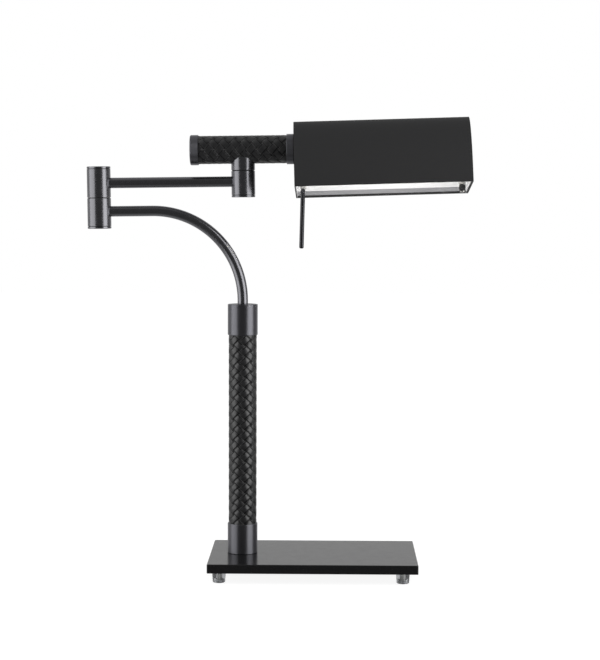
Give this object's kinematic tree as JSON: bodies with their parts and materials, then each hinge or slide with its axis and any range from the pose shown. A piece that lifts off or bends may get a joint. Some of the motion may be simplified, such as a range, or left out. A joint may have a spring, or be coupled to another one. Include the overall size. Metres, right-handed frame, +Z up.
{
  "type": "piano lamp",
  "caption": "Piano lamp with a rectangular base, leather-wrapped stem, gooseneck, swing arm on two knuckles, leather handle and a long half-elliptic tilting shade with a lever switch.",
  "frame": {"origin": "middle of the lamp's overall width and depth, on the desk under its feet", "axes": "+Z up the stem, +X from the elbow to the free end of the shade, -Y to the player, where the raised lip of the shade is"},
  "size_m": [0.4266, 0.1492, 0.5106],
  "materials": {
    "base_paint": "satin black stove enamel on a steel plate",
    "clear_foot": "clear soft PVC, glossy",
    "zinc_steel": "zinc-plated, satin",
    "nylon": "moulded black nylon",
    "satin_gunmetal": "turned and plated gunmetal, satin",
    "black_nickel": "black nickel plate, glossy",
    "leather": "plaited black leather straps, semi-gloss",
    "shade_paint": "matte black powder coat",
    "white_enamel": "white enamel, semi-gloss",
    "bar_aluminium": "mill-finish aluminium",
    "board": "white solder mask",
    "opal": "opal diffusing acrylic",
    "control_plastic": "moulded black plastic",
    "bright_nickel": "bright nickel plate",
    "knob_plastic": "moulded black plastic, glossy"
  },
  "bodies": {
    "stand": {"base_plate": "base_paint", "foot_front_left": "clear_foot", "foot_front_right": "clear_foot", "foot_rear_left": "clear_foot", "foot_rear_right": "clear_foot", "foot_screws": "zinc_steel", "tie_rod": "zinc_steel", "base_washer": "zinc_steel", "base_nut": "zinc_steel", "cable_bush": "nylon", "lower_ferrule": "satin_gunmetal", "stem_tube": "zinc_steel", "stem_sleeve": "leather", "upper_ferrule": "satin_gunmetal", "grub_screw": "zinc_steel", "gooseneck": "black_nickel", "lower_knuckle": "black_nickel", "lower_knuckle_cap": "black_nickel", "elbow_friction_washer": "nylon", "elbow_lower_nut": "zinc_steel", "elbow_spring_washer": "zinc_steel", "elbow_upper_nut": "zinc_steel", "elbow_spindle": "zinc_steel"},
    "arm": {"upper_knuckle": "black_nickel", "upper_knuckle_cap": "black_nickel", "swing_arm": "black_nickel", "head_knuckle": "black_nickel", "head_knuckle_cap": "black_nickel", "head_friction_washer": "nylon"},
    "head": {"saddle": "black_nickel", "head_spring_washer": "zinc_steel", "head_nut": "zinc_steel", "head_spindle": "zinc_steel", "handle_tube": "zinc_steel", "handle_sleeve": "leather", "handle_end_cap": "satin_gunmetal", "handle_ferrule": "satin_gunmetal", "tilt_inner_nut": "zinc_steel", "tilt_friction_washer": "nylon", "tilt_spring_washer": "zinc_steel", "tilt_nut": "zinc_steel", "tilt_spindle": "zinc_steel"},
    "shade": {"shade_shell": "shade_paint", "shade_inner_end": "shade_paint", "shade_outer_end": "shade_paint", "reflector": "white_enamel", "light_bar": "bar_aluminium", "bar_screws": "zinc_steel", "led_board": "board", "diffuser": "opal", "switch_bracket": "bar_aluminium", "switch_body": "control_plastic", "switch_bush": "bright_nickel", "dimmer_bracket": "bar_aluminium", "dimmer_body": "control_plastic", "dimmer_bush": "bright_nickel"},
    "lever": {"switch_lever": "black_nickel"},
    "knob": {"dimmer_knob": "knob_plastic", "knob_insert": "bright_nickel"}
  },
  "joints": [
    {"name": "arm_swing", "type": "hinge", "parent": "stand", "child": "arm", "pos_m": [-0.1999, 0, 0.43616], "axis": [-0.014, 0, 0.9999], "range_deg": [-160, 160]},
    {"name": "head_swivel", "type": "hinge", "parent": "arm", "child": "head", "pos_m": [-0.03902, 0, 0.43841], "axis": [-0.014, 0, 0.9999], "range_deg": [-130, 130]},
    {"name": "shade_tilt", "type": "hinge", "parent": "head", "child": "shade", "pos_m": [0.01748, 0, 0.4745], "axis": [0.9999, 0, 0.014], "range_deg": [-80, 95]},
    {"name": "lever_toggle", "type": "hinge", "parent": "shade", "child": "lever", "pos_m": [0.02759, -0.00563, 0.43621], "axis": [-0.0045, -0.9895, 0.1443], "range_deg": [0, 6]},
    {"name": "dimmer_turn", "type": "hinge", "parent": "shade", "child": "knob", "pos_m": [0.20349, -0.0065, 0.43579], "axis": [0.0311, -0.1444, -0.989], "range_deg": [0, 280]}
  ]
}
